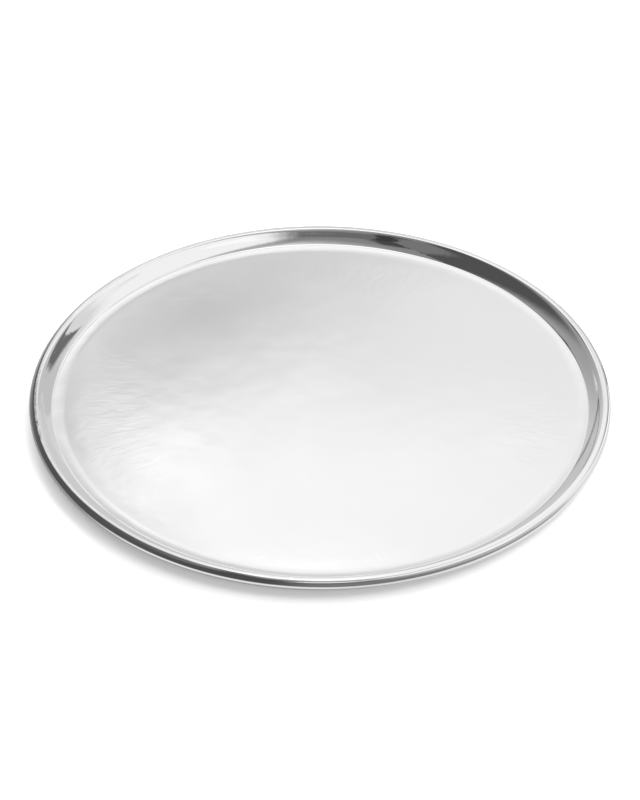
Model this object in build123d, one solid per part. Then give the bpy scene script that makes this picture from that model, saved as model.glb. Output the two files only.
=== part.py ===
"""A twelve-inch paten plate: a shallow round plate spun from one sheet of stainless steel, whose rim is
curled down over a stiffening wire.

Millimetres, +Z up. The origin is the middle of the flat underside, on the surface the plate rests on.
"""

import math
import os

from build123d import *

# The whole plate
OUTSIDE_DIAMETER = 304.8
TOTAL_HEIGHT = 7.8
SHEET = 0.9

# The curled edge, measured on its polished outside, and the wire that it is curled around. The curl stops
# just short of the underside of the wall.
BEAD_DIAMETER = 5.7
CURL_ANGLE = 255.0
WIRE_DIAMETER = 3.8

# The section of the rim, on the sheet's top face. The floor ends in a shallow cove, bends up sharply at
# its foot into a leaning wall with a faint S-curve, and bends out again at its brow into a narrow level
# shoulder beside the bead.
SHOULDER_WIDTH = 1.1
COVE_RADIUS = 40.0
COVE_SLOPE = 9.5
FOOT_RADIUS = 1.8
LOWER_WALL_RADIUS = 25.0
UPPER_WALL_RADIUS = 9.6
BEND_SLOPE = 35.0
WALL_SLOPE = 48.2
BROW_RADIUS = 1.2

# Each bend is (degrees turned to the left on the way out from the middle, radius on the sheet's top face).
WALL_FOOT = [
    (COVE_SLOPE, COVE_RADIUS),
    (BEND_SLOPE - COVE_SLOPE, FOOT_RADIUS),
    (WALL_SLOPE - BEND_SLOPE, LOWER_WALL_RADIUS),
]
WALL_HEAD = [
    (BEND_SLOPE - WALL_SLOPE, UPPER_WALL_RADIUS),
    (-BEND_SLOPE, BROW_RADIUS),
]
CURL = (-CURL_ANGLE, BEAD_DIAMETER / 2)

BEAD_CENTRE_RADIUS = OUTSIDE_DIAMETER / 2 - BEAD_DIAMETER / 2
BEAD_CENTRE_HEIGHT = TOTAL_HEIGHT - BEAD_DIAMETER / 2


def bend_span(bends, heading):
    """How far outwards and upwards a run of bends goes, setting off at a heading in degrees."""
    outwards = 0.0
    upwards = 0.0
    for turn, radius in bends:
        start = math.radians(heading)
        end = math.radians(heading + turn)
        side = math.copysign(radius, turn)
        outwards += side * (math.sin(end) - math.sin(start))
        upwards += side * (math.cos(start) - math.cos(end))
        heading += turn
    return outwards, upwards


# The straight part of the wall closes the section to the plate's height, and the floor to its diameter.
foot_out, foot_up = bend_span(WALL_FOOT, 0.0)
head_out, head_up = bend_span(WALL_HEAD, WALL_SLOPE)
STRAIGHT_UP = TOTAL_HEIGHT - SHEET - foot_up - head_up
STRAIGHT_LENGTH = STRAIGHT_UP / math.sin(math.radians(WALL_SLOPE))
STRAIGHT_OUT = STRAIGHT_LENGTH * math.cos(math.radians(WALL_SLOPE))
FLOOR_RADIUS = BEAD_CENTRE_RADIUS - SHOULDER_WIDTH - head_out - STRAIGHT_OUT - foot_out


def add_straight(path, length):
    """Carry a path straight on by a length."""
    last = path[-1]
    return path + [Line(last @ 1, last @ 1 + (last % 1) * length)]


def add_bends(path, bends, depth):
    """Carry a path on through tangent arcs, at a depth under the sheet's top face."""
    for turn, radius in bends:
        last = path[-1]
        own_radius = radius + math.copysign(depth, turn)
        path = path + [JernArc(last @ 1, last % 1, own_radius, turn)]
    return path


def sheet_face_path(depth):
    """The sheet's section at a depth under its top face, from the axis out to the raw edge of the curl."""
    level = SHEET - depth
    path = [Line((0.0, level), (FLOOR_RADIUS, level))]
    path = add_bends(path, WALL_FOOT, depth)
    path = add_straight(path, STRAIGHT_LENGTH)
    path = add_bends(path, WALL_HEAD, depth)
    path = add_straight(path, SHOULDER_WIDTH)
    return add_bends(path, [CURL], depth)


def make_plate():
    """The sheet: floor, wall, shoulder and curled edge, turned about the plate's axis."""
    top = sheet_face_path(0.0)
    underside = sheet_face_path(SHEET)
    raw_edge = Line(top[-1] @ 1, underside[-1] @ 1)
    axis_edge = Line(top[0] @ 0, underside[0] @ 0)
    section = make_face([*top, *underside, raw_edge, axis_edge])
    return revolve(Plane.XZ * section, Axis.Z)


def make_rim_wire():
    """The ring of round wire inside the curl."""
    return Pos(0, 0, BEAD_CENTRE_HEIGHT) * Torus(BEAD_CENTRE_RADIUS, WIRE_DIAMETER / 2)


def main():
    os.makedirs("parts", exist_ok=True)
    print(f"floor radius {FLOOR_RADIUS:.2f}, straight part of the wall {STRAIGHT_LENGTH:.2f}")
    export_step(make_plate(), "parts/plate.step")
    export_step(make_rim_wire(), "parts/rim_wire.step")


main()
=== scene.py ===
"""The looks of the paten plate: its satin floor and mirror-polished rim, in a bright studio.

Metres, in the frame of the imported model: the plate's axis is +Z and its flat underside lies on z = 0.
"""

import math

import bpy
from mathutils import Matrix, Vector


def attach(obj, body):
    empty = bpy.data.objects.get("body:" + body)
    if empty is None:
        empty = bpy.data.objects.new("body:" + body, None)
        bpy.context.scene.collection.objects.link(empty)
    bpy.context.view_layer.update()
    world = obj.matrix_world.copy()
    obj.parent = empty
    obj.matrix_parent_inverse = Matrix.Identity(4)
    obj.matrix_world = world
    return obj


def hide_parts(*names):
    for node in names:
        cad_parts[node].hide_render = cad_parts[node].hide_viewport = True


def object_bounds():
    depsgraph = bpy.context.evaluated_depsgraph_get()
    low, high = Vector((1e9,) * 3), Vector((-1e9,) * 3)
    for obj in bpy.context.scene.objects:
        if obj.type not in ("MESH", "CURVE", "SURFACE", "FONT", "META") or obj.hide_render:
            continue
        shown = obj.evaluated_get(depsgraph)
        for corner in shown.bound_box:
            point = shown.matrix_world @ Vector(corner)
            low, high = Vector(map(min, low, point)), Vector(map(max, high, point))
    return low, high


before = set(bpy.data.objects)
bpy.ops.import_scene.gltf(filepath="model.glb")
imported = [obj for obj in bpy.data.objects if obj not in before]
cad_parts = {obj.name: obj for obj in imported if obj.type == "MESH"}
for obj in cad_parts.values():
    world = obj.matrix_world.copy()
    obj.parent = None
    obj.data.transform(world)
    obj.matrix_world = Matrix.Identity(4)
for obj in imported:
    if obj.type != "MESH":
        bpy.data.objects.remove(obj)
cad_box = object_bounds()

MM = 0.001

# The plate's reach comes from the frame, and the rest of its section repeats the construction's sizes.
OUTSIDE_RADIUS = (cad_box[1][0] - cad_box[0][0]) / 2
TOTAL_HEIGHT = cad_box[1][2] - cad_box[0][2]
SHEET = 0.9 * MM
BEAD_RADIUS = 2.85 * MM
CURL_ANGLE = 255.0
SHOULDER_WIDTH = 1.1 * MM
COVE_RADIUS = 40.0 * MM
COVE_SLOPE = 9.5
FOOT_RADIUS = 1.8 * MM
LOWER_WALL_RADIUS = 25.0 * MM
UPPER_WALL_RADIUS = 9.6 * MM
BEND_SLOPE = 35.0
WALL_SLOPE = 48.2
BROW_RADIUS = 1.2 * MM
BEAD_CENTRE_RADIUS = OUTSIDE_RADIUS - BEAD_RADIUS

# How finely the section is turned
STEPS_ROUND = 384
FLOOR_RINGS = 8

# The camera, fitted to the rim's and the floor's ellipses. The image is 640 by 800.
IMAGE_HEIGHT_PX = 800
FOCAL_LENGTH_PX = 2896.3
CAMERA_ELEVATION = 38.23
CAMERA_DISTANCE = 1.524
CAMERA_ROLL = 0.3
AIM = Vector((-0.0001, -0.0001, SHEET + 0.0001))


# ---------------------------------------------------------------- the section of the sheet

WALL_FOOT = [
    (COVE_SLOPE, COVE_RADIUS),
    (BEND_SLOPE - COVE_SLOPE, FOOT_RADIUS),
    (WALL_SLOPE - BEND_SLOPE, LOWER_WALL_RADIUS),
]
WALL_HEAD = [
    (BEND_SLOPE - WALL_SLOPE, UPPER_WALL_RADIUS),
    (-BEND_SLOPE, BROW_RADIUS),
]
CURL = (-CURL_ANGLE, BEAD_RADIUS)


def bend_span(bends, heading):
    """How far outwards and upwards a run of bends goes, setting off at a heading in degrees."""
    outwards = 0.0
    upwards = 0.0
    for turn, radius in bends:
        start = math.radians(heading)
        end = math.radians(heading + turn)
        side = math.copysign(radius, turn)
        outwards += side * (math.sin(end) - math.sin(start))
        upwards += side * (math.cos(start) - math.cos(end))
        heading += turn
    return outwards, upwards


foot_out, foot_up = bend_span(WALL_FOOT, 0.0)
head_out, head_up = bend_span(WALL_HEAD, WALL_SLOPE)
STRAIGHT_LENGTH = (TOTAL_HEIGHT - SHEET - foot_up - head_up) / math.sin(math.radians(WALL_SLOPE))
STRAIGHT_OUT = STRAIGHT_LENGTH * math.cos(math.radians(WALL_SLOPE))
FLOOR_RADIUS = BEAD_CENTRE_RADIUS - SHOULDER_WIDTH - head_out - STRAIGHT_OUT - foot_out


class Section:
    """Walks the sheet's section outwards, and keeps a station (radius, height, heading) at every step."""

    def __init__(self, depth):
        self.depth = depth
        self.stations = [(0.0, SHEET - depth, 0.0)]

    def straight(self, length, steps):
        radius, height, heading = self.stations[-1]
        for step in range(1, steps + 1):
            gone = length * step / steps
            self.stations.append(
                (radius + gone * math.cos(heading), height + gone * math.sin(heading), heading)
            )

    def bend(self, turn, top_radius, degrees_per_step):
        """Turn left (positive) or right by some degrees, at a radius given on the sheet's top face."""
        radius, height, heading = self.stations[-1]
        side = math.copysign(top_radius, turn) + self.depth
        steps = max(3, math.ceil(abs(turn) / degrees_per_step))
        for step in range(1, steps + 1):
            angle = heading + math.radians(turn) * step / steps
            self.stations.append(
                (
                    radius + side * (math.sin(angle) - math.sin(heading)),
                    height + side * (math.cos(heading) - math.cos(angle)),
                    angle,
                )
            )


def sheet_section(depth, coarseness):
    """The stations of one face of the sheet, and the number of the station where the foot bend ends."""
    section = Section(depth)
    section.straight(FLOOR_RADIUS, FLOOR_RINGS)
    section.bend(*WALL_FOOT[0], 0.4 * coarseness)
    section.bend(*WALL_FOOT[1], 2.5 * coarseness)
    foot_end = len(section.stations) - 1
    section.bend(*WALL_FOOT[2], 1.5 * coarseness)
    section.straight(STRAIGHT_LENGTH, 2)
    section.bend(*WALL_HEAD[0], 1.5 * coarseness)
    section.bend(*WALL_HEAD[1], 3.0 * coarseness)
    section.straight(SHOULDER_WIDTH, 3)
    section.bend(*CURL, 4.0 * coarseness)
    return section.stations, foot_end


def turned_sheet(name):
    """The whole sheet as one closed mesh, turned about Z, with exact normals.

    Material slot 0 is the floor, cove and foot, 1 the rest of the top face round the bead to the raw edge,
    2 the underside and the inside of the curl, and 3 the raw edge.
    """
    top, foot_end = sheet_section(0.0, 1.0)
    under, _ = sheet_section(SHEET, 2.0)
    upper_count = len(top)
    rings = [(r, z) for r, z, _ in top] + [(r, z) for r, z, _ in reversed(under)]
    normals = [h + math.pi / 2 for _, _, h in top] + [h - math.pi / 2 for _, _, h in reversed(under)]
    raw_edge_normal = top[-1][2]

    vertices = []
    first = []
    for radius, height in rings:
        first.append(len(vertices))
        if radius < 1e-9:
            vertices.append((0.0, 0.0, height))
            continue
        for step in range(STEPS_ROUND):
            angle = 2 * math.pi * step / STEPS_ROUND
            vertices.append((radius * math.cos(angle), radius * math.sin(angle), height))

    def corner(ring, step):
        if rings[ring][0] < 1e-9:
            return first[ring]
        return first[ring] + step % STEPS_ROUND

    faces = []
    slots = []
    loop_normals = []
    for ring in range(len(rings) - 1):
        slot = 0 if ring < foot_end else 1
        tilt_in, tilt_out = normals[ring], normals[ring + 1]
        if ring == upper_count - 1:
            slot = 3
            tilt_in = tilt_out = raw_edge_normal
        elif ring >= upper_count:
            slot = 2
        for step in range(STEPS_ROUND):
            corners = [(ring, step, tilt_in), (ring + 1, step, tilt_out)]
            corners += [(ring + 1, step + 1, tilt_out), (ring, step + 1, tilt_in)]
            face = []
            for at_ring, at_step, tilt in corners:
                vertex = corner(at_ring, at_step)
                if vertex in face:
                    continue
                face.append(vertex)
                angle = 2 * math.pi * at_step / STEPS_ROUND
                flat = math.cos(tilt)
                loop_normals.append(
                    (flat * math.cos(angle), flat * math.sin(angle), math.sin(tilt))
                )
            faces.append(face)
            slots.append(slot)

    mesh = bpy.data.meshes.new(name)
    mesh.from_pydata(vertices, [], faces)
    mesh.polygons.foreach_set("material_index", slots)
    mesh.shade_smooth()
    mesh.normals_split_custom_set(loop_normals)
    mesh.update()
    piece = bpy.data.objects.new(name, mesh)
    bpy.context.collection.objects.link(piece)
    return piece


# ---------------------------------------------------------------- materials


WHITE = (1.0, 1.0, 1.0, 1.0)
STEEL = (0.86, 0.86, 0.86, 1.0)
POLISHED_ROUGHNESS = 0.045
SATIN_ROUGHNESS = 0.19

# The satin ends at the foot of the wall, in a narrow fade.
SATIN_EDGE = 140.5 * MM
SATIN_FADE = 0.4 * MM

# The unevenness of the satin: how fine each kind is, how high it stands among the others, and between which
# radii the strokes fade in and sink to their height in the cove.
DAPPLES_PER_METRE = 150.0
DAPPLES_HEIGHT = 0.5
SWELLS_PER_METRE = 45.0
SWELLS_HEIGHT = 2.5
STROKES_PER_RADIAN = 26.0
STROKES_PER_METRE = 100.0
STROKES_WOBBLE = 0.8
STROKES_HEIGHT = 1.3
STROKES_HEIGHT_IN_COVE = 0.1
STROKES_FADE_IN = (80.0 * MM, 114.0 * MM)
STROKES_SINK = (126.0 * MM, 135.0 * MM)
CLOUDS_PER_METRE = 18.0

WAVES_PER_METRE = 200.0
HAZE_PER_METRE = 70.0
TOOL_MARKS_PER_METRE = 2600.0


class Nodes:
    """A small helper that adds and links the nodes of one material or world."""

    def __init__(self, owner):
        owner.use_nodes = True
        self.tree = owner.node_tree
        self.tree.nodes.clear()

    def add(self, kind, inputs=None, **settings):
        node = self.tree.nodes.new(kind)
        for key, value in settings.items():
            setattr(node, key, value)
        for key, value in (inputs or {}).items():
            socket = node.inputs[key]
            if isinstance(value, bpy.types.NodeSocket):
                self.tree.links.new(value, socket)
            else:
                socket.default_value = value
        return node

    def math(self, operation, first, second=0.0):
        node = self.add("ShaderNodeMath", {0: first, 1: second}, operation=operation)
        return node.outputs[0]

    def smooth_step(self, value, low, high, to_low=0.0, to_high=1.0):
        inputs = {"Value": value, "From Min": low, "From Max": high, "To Min": to_low, "To Max": to_high}
        node = self.add("ShaderNodeMapRange", inputs, interpolation_type="SMOOTHSTEP")
        return node.outputs[0]

    def polar(self):
        """Sockets for the distance from the axis in metres, the angle round it in radians, and the place."""
        position = self.add("ShaderNodeTexCoord").outputs["Object"]
        parts = self.add("ShaderNodeSeparateXYZ", {0: position})
        x, y = parts.outputs[0], parts.outputs[1]
        squares = self.math("ADD", self.math("MULTIPLY", x, x), self.math("MULTIPLY", y, y))
        return self.math("SQRT", squares), self.math("ARCTAN2", y, x), position

    def glow(self, strength):
        """A shader that glows white."""
        return self.add("ShaderNodeEmission", {"Color": WHITE, "Strength": strength}).outputs[0]

    def noise(self, place, scale, detail, distortion=0.0):
        """A socket with soft noise, mostly between 0.3 and 0.7."""
        inputs = {"Vector": place, "Scale": scale, "Detail": detail, "Distortion": distortion}
        return self.add("ShaderNodeTexNoise", inputs).outputs["Fac"]

    def bump(self, height, strength, distance):
        inputs = {"Height": height, "Strength": strength, "Distance": distance}
        return self.add("ShaderNodeBump", inputs).outputs[0]

    def steel(self, roughness, normal):
        inputs = {"Base Color": STEEL, "Metallic": 1.0, "Roughness": roughness, "Normal": normal}
        return self.add("ShaderNodeBsdfPrincipled", inputs).outputs[0]

    def either(self, chooser, first, second):
        """The first shader where the chooser is 0, and the second where it is 1 or more."""
        return self.add("ShaderNodeMixShader", {0: chooser, 1: first, 2: second}).outputs[0]

    def finish(self, shader, output="ShaderNodeOutputMaterial"):
        out = self.tree.nodes.new(output)
        self.tree.links.new(shader, out.inputs["Surface"])


def satin_floor_steel():
    """Buffed by hand to a satin: dapples all over, and near the wall wavy strokes that run outwards."""
    material = bpy.data.materials.new("satin_floor_steel")
    nodes = Nodes(material)
    radius, angle, position = nodes.polar()
    satin = nodes.smooth_step(radius, SATIN_EDGE - SATIN_FADE, SATIN_EDGE + SATIN_FADE, 1.0, 0.0)
    around = nodes.math("MULTIPLY", angle, STROKES_PER_RADIAN)
    outwards = nodes.math("MULTIPLY", radius, STROKES_PER_METRE)
    strokes_at = nodes.add("ShaderNodeCombineXYZ", {0: around, 1: outwards}).outputs[0]
    strokes = nodes.noise(strokes_at, 1.0, 2.0, STROKES_WOBBLE)
    fade_in = nodes.smooth_step(radius, *STROKES_FADE_IN)
    sink = nodes.smooth_step(radius, *STROKES_SINK, STROKES_HEIGHT, STROKES_HEIGHT_IN_COVE)
    stroke_height = nodes.math("MULTIPLY", nodes.math("MULTIPLY", strokes, fade_in), sink)
    dapples = nodes.math("MULTIPLY", nodes.noise(position, DAPPLES_PER_METRE, 1.0), DAPPLES_HEIGHT)
    swells = nodes.math("MULTIPLY", nodes.noise(position, SWELLS_PER_METRE, 1.0), SWELLS_HEIGHT)
    uneven = nodes.math("ADD", nodes.math("ADD", dapples, swells), stroke_height)
    height = nodes.math("MULTIPLY", uneven, satin)
    clouds = nodes.noise(position, CLOUDS_PER_METRE, 2.0)
    satin_roughness = nodes.smooth_step(clouds, 0.3, 0.7, SATIN_ROUGHNESS - 0.02, SATIN_ROUGHNESS + 0.02)
    extra = nodes.math("MULTIPLY", nodes.math("SUBTRACT", satin_roughness, POLISHED_ROUGHNESS), satin)
    roughness = nodes.math("ADD", extra, POLISHED_ROUGHNESS)
    nodes.finish(nodes.steel(roughness, nodes.bump(height, 0.25, 0.2 * MM)))
    return material


def polished_steel():
    """Mirror-polished, with the faint waves and the haze that a buffing wheel leaves."""
    material = bpy.data.materials.new("polished_steel")
    nodes = Nodes(material)
    position = nodes.add("ShaderNodeTexCoord").outputs["Object"]
    waves = nodes.noise(position, WAVES_PER_METRE, 2.0)
    haze = nodes.noise(position, HAZE_PER_METRE, 2.0)
    roughness = nodes.smooth_step(haze, 0.35, 0.65, POLISHED_ROUGHNESS - 0.02, POLISHED_ROUGHNESS + 0.04)
    nodes.finish(nodes.steel(roughness, nodes.bump(waves, 0.3, 0.1 * MM)))
    return material


def spun_steel(name, roughness, line_strength):
    """Steel with fine rings of tool marks round the axis."""
    material = bpy.data.materials.new(name)
    nodes = Nodes(material)
    radius, angle, _ = nodes.polar()
    outwards = nodes.math("MULTIPLY", radius, TOOL_MARKS_PER_METRE)
    lines_at = nodes.add("ShaderNodeCombineXYZ", {0: outwards, 1: angle}).outputs[0]
    lines = nodes.noise(lines_at, 1.0, 4.0)
    rough = nodes.smooth_step(lines, 0.3, 0.7, roughness - 0.05, roughness + 0.05)
    nodes.finish(nodes.steel(rough, nodes.bump(lines, line_strength, 0.1 * MM)))
    return material


# ---------------------------------------------------------------- the studio

# The plate stands in a light tent, which shows only in the steel. A panel of it has a level of brightness
# and patches laid over it in turn. Each patch fades in to its own level from one place to another, along
# one or more of these directions or outwards from the plate's axis ("from_axis"). A place is the dot
# product of a point in metres with the direction. The patches were laid out, and then their places
# and levels were adjusted by a least-squares fit and rounded.
TENT_RIGHT = 0.68
TENT_LEFT = -0.21
TENT_BACK = 1.35
TENT_FRONT = -0.21
TENT_TOP = 0.54
DIRECTIONS = {
    "x": (1.0, 0.0, 0.0),
    "y": (0.0, 1.0, 0.0),
    "z": (0.0, 0.0, 1.0),
    "across_roof": (1.0, -0.6, 0.0),
    "over_fold": (-0.6, 1.0, 0.0),
    "into_corner": (-1.0, -0.37, 0.0),
    "up_steeply": (0.0, 0.9, 1.0),
    "up_gently": (0.0, 0.35, 1.0),
    "leaning": (0.0, 1.0, 0.27),
    "to_back_left": (-0.84, 0.54, 0.0),
    "to_left": (-0.94, -0.34, 0.0),
    "to_front_right": (0.77, -0.64, 0.0),
    "to_right": (0.94, 0.34, 0.0),
}

ROOF = (
    1.02,
    [
        # duller towards the far right
        (0.77, [("x", 0.39, 0.59), ("y", 0.18, 0.49)]),
        # two lamps behind the cloth, a near one and a far one, and the glow to the right of the far one
        (1.66, [("x", -0.15, -0.07), ("x", 0.10, -0.01), ("y", 0.12, 0.24), ("y", 0.45, 0.41)]),
        (1.53, [("x", -0.23, -0.17), ("x", -0.02, -0.13), ("y", 0.50, 0.58), ("y", 0.66, 0.60)]),
        (1.21, [("x", -0.09, 0.01), ("x", 0.19, 0.14), ("y", 0.56, 0.59), ("y", 0.71, 0.67)]),
        # a band of doubled cloth behind the lamps
        (0.85, [("x", -0.02, 0.04), ("x", 0.25, 0.22), ("y", 0.63, 0.68), ("y", 0.84, 0.73)]),
        # a shaded fold that slants across the roof behind them
        (
            0.41,
            [("x", -0.21, -0.17), ("x", 0.18, -0.14), ("over_fold", 0.74, 0.81), ("over_fold", 0.97, 0.87)],
        ),
        # the back of the roof
        (0.72, [("y", 0.87, 0.97)]),
        # a bright gap along the left wall
        (1.28, [("x", -0.18, -0.21), ("y", 0.78, 0.81), ("y", 0.84, 0.82)]),
        # the unlit front left corner, with a darker fold in it
        (0.28, [("into_corner", -0.12, 0.16), ("y", 0.60, 0.57)]),
        (0.00, [("x", -0.15, -0.13), ("x", -0.08, -0.10), ("y", 0.03, 0.06), ("y", 0.23, 0.18)]),
        # a rib of the frame, slanting over the right half of the front
        (0.47, [("across_roof", 0.07, 0.11), ("across_roof", 0.21, 0.15), ("y", 0.39, 0.06)]),
        # the opening over the front left, and its darkest end
        (0.25, [("y", 0.07, -0.18), ("x", 0.13, 0.06)]),
        (0.07, [("x", -0.11, -0.15), ("y", -0.06, -0.11)]),
    ],
)
RIGHT_WALL = (
    0.66,
    [
        # brighter from front to back, duller high up, brightest low down
        (0.86, [("y", -0.05, 0.00)]),
        (0.97, [("y", -0.04, 0.20)]),
        (0.78, [("y", 0.21, 0.35), ("z", 0.24, 0.27)]),
        (1.29, [("y", 0.24, 0.53), ("z", 0.26, 0.24)]),
        # the far end
        (0.67, [("up_steeply", 0.95, 0.97)]),
        # a dark wedge, which the steel shows as a fishtail, and the gap behind it
        (0.17, [("y", 0.48, 0.51), ("up_steeply", 1.11, 0.94), ("up_gently", 0.40, 0.44)]),
        (0.61, [("y", 0.73, 0.87)]),
        (0.00, [("y", 0.71, 0.74), ("y", 0.90, 0.87), ("z", 0.12, 0.09)]),
    ],
)
LEFT_WALL = (
    0.09,
    [
        # lighter high up at the front, and in steps towards the back
        (0.20, [("y", -0.01, -0.06), ("z", 0.11, 0.36)]),
        (0.37, [("leaning", 0.20, 0.33)]),
        (0.67, [("y", 0.24, 0.71)]),
        (0.89, [("y", 0.39, 0.57), ("y", 0.92, 0.72), ("z", 0.36, 0.39)]),
        # a hole, and the lit edge of the table's paper
        (0.00, [("y", 0.28, 0.31), ("y", 0.48, 0.46), ("z", 0.25, 0.29)]),
        (1.17, [("y", -0.04, 0.39), ("y", 0.45, 0.37), ("z", 0.08, 0.02)]),
    ],
)
# The back wall is even.
BACK_WALL = (0.74, [])
FRONT_WALL = (
    0.08,
    [
        # dark at the left, where the camera is, and lighter at the right
        (0.51, [("x", 0.03, 0.11)]),
        (0.80, [("x", 0.00, 0.03), ("x", 0.27, 0.24), ("z", 0.19, 0.28)]),
        (1.11, [("x", 0.08, 0.20), ("z", 0.39, 0.41)]),
        # a bright gap beside the camera, under a dull top and a dark corner
        (1.30, [("x", -0.05, -0.01), ("x", 0.07, 0.03), ("z", 0.06, 0.26), ("z", 0.41, 0.37)]),
        (0.16, [("x", 0.14, 0.04), ("z", 0.36, 0.41)]),
        (0.05, [("x", -0.13, -0.15), ("z", 0.35, 0.42)]),
        # the dull foot of the wall
        (0.21, [("x", -0.05, 0.01), ("x", 0.33, 0.05), ("z", 0.09, 0.05)]),
    ],
)
# The table as the steel shows it: a glow with the table's light and shade painted in, in patches
MIRRORED_TABLE_PAINTED_LIGHT = (
    0.58,
    [
        # bright at the back left and dull at the left
        (0.90, [("to_back_left", 0.15, 0.17)]),
        (0.35, [("to_left", 0.09, 0.18)]),
        # bright under the front and front right of the rim, and dark beyond it there and at the right
        (1.06, [("y", -0.09, -0.13)]),
        (0.93, [("to_front_right", 0.105, 0.115)]),
        (0.14, [("from_axis", 0.155, 0.18), ("y", -0.06, -0.11)]),
        (0.27, [("to_right", 0.18, 0.20)]),
        # painted shade: the dark line under the bead, where the bead shades the table, from the front round
        # to the left
        (0.27, [("from_axis", 0.16, 0.15), ("x", 0.12, -0.01)]),
    ],
)


def patched_level(nodes, brightness):
    """A socket with a panel's brightness, from its own level and its patches."""
    position = nodes.add("ShaderNodeTexCoord").outputs["Object"]
    level, patches = brightness
    for patch_level, fades in patches:
        share = 1.0
        for direction, start, end in fades:
            if direction == "from_axis":
                place = nodes.polar()[0]
            else:
                along = {0: position, 1: DIRECTIONS[direction]}
                place = nodes.add("ShaderNodeVectorMath", along, operation="DOT_PRODUCT").outputs["Value"]
            share = nodes.math("MULTIPLY", nodes.smooth_step(place, start, end), share)
        change = nodes.math("MULTIPLY", nodes.math("SUBTRACT", patch_level, level), share)
        level = nodes.math("ADD", change, level)
    return level


def stage_sheet(name, corners):
    """A flat four-cornered piece of the stage."""
    mesh = bpy.data.meshes.new(name)
    mesh.from_pydata(corners, [], [(0, 1, 2, 3)])
    piece = bpy.data.objects.new(name, mesh)
    bpy.context.collection.objects.link(piece)
    return piece


def tent_panel(name, corners, brightness):
    """One glowing panel of the light tent."""
    panel = stage_sheet(name, corners)
    panel.visible_camera = False
    panel.visible_diffuse = False
    panel.visible_shadow = False
    material = bpy.data.materials.new(name)
    nodes = Nodes(material)
    glow = nodes.glow(patched_level(nodes, brightness))
    # Steel that mirrors the panel doesn't pass its glow on to the table.
    relayed = nodes.add("ShaderNodeLightPath").outputs["Diffuse Depth"]
    nodes.finish(nodes.either(relayed, glow, nodes.glow(0.0)))
    panel.data.materials.append(material)


def make_tent():
    """The roof and four walls, each as its corners in order."""

    def upright(x0, y0, x1, y1):
        return [(x0, y0, 0.0), (x1, y1, 0.0), (x1, y1, TENT_TOP), (x0, y0, TENT_TOP)]

    left, right, front, back = TENT_LEFT, TENT_RIGHT, TENT_FRONT, TENT_BACK
    roof = [(x, y, TENT_TOP) for x, y in ((left, front), (right, front), (right, back), (left, back))]
    tent_panel("tent_roof", roof, ROOF)
    tent_panel("tent_right", upright(right, front, right, back), RIGHT_WALL)
    tent_panel("tent_left", upright(left, back, left, front), LEFT_WALL)
    tent_panel("tent_back", upright(right, back, left, back), BACK_WALL)
    tent_panel("tent_front", upright(left, front, right, front), FRONT_WALL)


# The lights, as azimuth, elevation and power. They throw the plate's shadow forwards and to the left, and
# aren't mirrored in the steel. Each looks as wide from the plate as the half angle says. The powers, like
# the room light and the table's glow, were fitted to that shadow.
LIGHT_DISTANCE = 1.6
LIGHT_HALF_ANGLE = 25.0
LIGHTS = {
    "low_back": (90.0, 12.0, 74.0),
    "low_back_right": (55.0, 12.0, 31.0),
    "high_right": (20.0, 40.0, 19.0),
    "high_back_left": (125.0, 40.0, 10.0),
    "low_front_right": (320.0, 12.0, 11.0),
}


def make_light(name, azimuth, elevation, power):
    """A round soft light that faces the plate."""
    data = bpy.data.lights.new(name, "AREA")
    data.shape = "DISK"
    data.size = 2 * LIGHT_DISTANCE * math.tan(math.radians(LIGHT_HALF_ANGLE))
    data.energy = power
    light = bpy.data.objects.new(name, data)
    bpy.context.collection.objects.link(light)
    around = math.radians(azimuth)
    up = math.radians(elevation)
    towards = Vector((math.cos(up) * math.cos(around), math.cos(up) * math.sin(around), math.sin(up)))
    facing = towards.to_track_quat("Z", "Y").to_matrix().to_4x4()
    light.matrix_world = Matrix.Translation(towards * LIGHT_DISTANCE) @ facing
    light.visible_glossy = False


TABLE_PAPER = (0.9, 0.9, 0.9, 1.0)
TABLE_REACH = 12.0
TABLE_BELOW = 0.1 * MM
TABLE_GLOW = 0.155
FAR_TABLE_GLOW = 1.0
FAR_TABLE_FADE = (0.25, 0.9)
RELAYED_TABLE = 0.42
ROOM_LIGHT = 0.465
BACKDROP_LIGHT = 1.0


def make_table():
    """A wide white table top, lit until only the plate's own soft shadow is left on it.

    It glows a little of itself, and more far out, where the lights hardly reach. The steel mirrors, in the
    table's place, a glow with the table's light and shade painted in patches, and the table's own light
    comes back to it from the steel as an even glow.
    """
    reach = TABLE_REACH
    corners = [(-reach, -reach), (reach, -reach), (reach, reach), (-reach, reach)]
    table = stage_sheet("table_top", [(x, y, -TABLE_BELOW) for x, y in corners])
    material = bpy.data.materials.new("white_table")
    nodes = Nodes(material)
    paper = nodes.add("ShaderNodeBsdfDiffuse", {"Color": TABLE_PAPER}).outputs[0]
    own_glow = nodes.smooth_step(nodes.polar()[0], *FAR_TABLE_FADE, TABLE_GLOW, FAR_TABLE_GLOW)
    lit = nodes.add("ShaderNodeAddShader", {0: paper, 1: nodes.glow(own_glow)}).outputs[0]
    path = nodes.add("ShaderNodeLightPath").outputs
    # painted light and shade: the glow that the steel mirrors in place of the table
    mirrored = nodes.glow(patched_level(nodes, MIRRORED_TABLE_PAINTED_LIGHT))
    glow = nodes.either(path["Diffuse Depth"], mirrored, nodes.glow(RELAYED_TABLE))
    nodes.finish(nodes.either(path["Is Glossy Ray"], lit, glow))
    table.data.materials.append(material)


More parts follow.
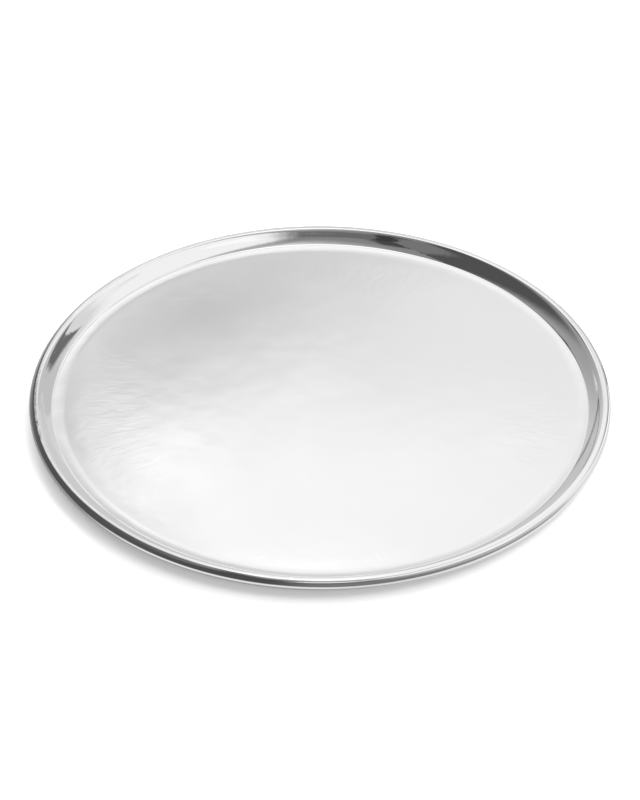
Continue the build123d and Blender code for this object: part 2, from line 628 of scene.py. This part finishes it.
def make_world():
    """Dim light from all round, behind a backdrop that looks as white as the table."""
    world = bpy.data.worlds.new("studio")
    bpy.context.scene.world = world
    nodes = Nodes(world)
    room = nodes.add("ShaderNodeBackground", {"Color": WHITE, "Strength": ROOM_LIGHT}).outputs[0]
    backdrop = nodes.add("ShaderNodeBackground", {"Color": WHITE, "Strength": BACKDROP_LIGHT}).outputs[0]
    seen = nodes.add("ShaderNodeLightPath").outputs["Is Camera Ray"]
    nodes.finish(nodes.either(seen, room, backdrop), "ShaderNodeOutputWorld")


def make_camera():
    data = bpy.data.cameras.new("camera")
    data.sensor_fit = "AUTO"
    data.lens = FOCAL_LENGTH_PX / IMAGE_HEIGHT_PX * data.sensor_width
    data.clip_start = 0.01
    camera = bpy.data.objects.new("camera", data)
    bpy.context.collection.objects.link(camera)
    elevation = math.radians(CAMERA_ELEVATION)
    back = Vector((0.0, -math.cos(elevation), math.sin(elevation)))
    turn = back.to_track_quat("Z", "Y").to_matrix().to_4x4()
    roll = Matrix.Rotation(math.radians(CAMERA_ROLL), 4, "Z")
    camera.matrix_world = Matrix.Translation(AIM + back * CAMERA_DISTANCE) @ turn @ roll
    bpy.context.scene.camera = camera


def make_studio():
    make_world()
    make_camera()
    make_table()
    make_tent()
    for name, (azimuth, elevation, power) in LIGHTS.items():
        make_light(name, azimuth, elevation, power)
    bpy.context.scene.view_settings.view_transform = "Standard"
    bpy.context.scene.view_settings.look = "None"


# ---------------------------------------------------------------- the plate


def dress_plate():
    plate = turned_sheet("plate_sheet")
    plate.data.materials.append(satin_floor_steel())
    plate.data.materials.append(polished_steel())
    plate.data.materials.append(spun_steel("spun_steel", roughness=0.34, line_strength=0.12))
    plate.data.materials.append(spun_steel("sheared_steel", roughness=0.4, line_strength=0.3))
    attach(plate, "root")
    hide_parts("plate")

    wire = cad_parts["rim_wire"]
    wire.data.materials.clear()
    wire.data.materials.append(spun_steel("drawn_wire", roughness=0.45, line_strength=0.2))


make_studio()
dress_plate()
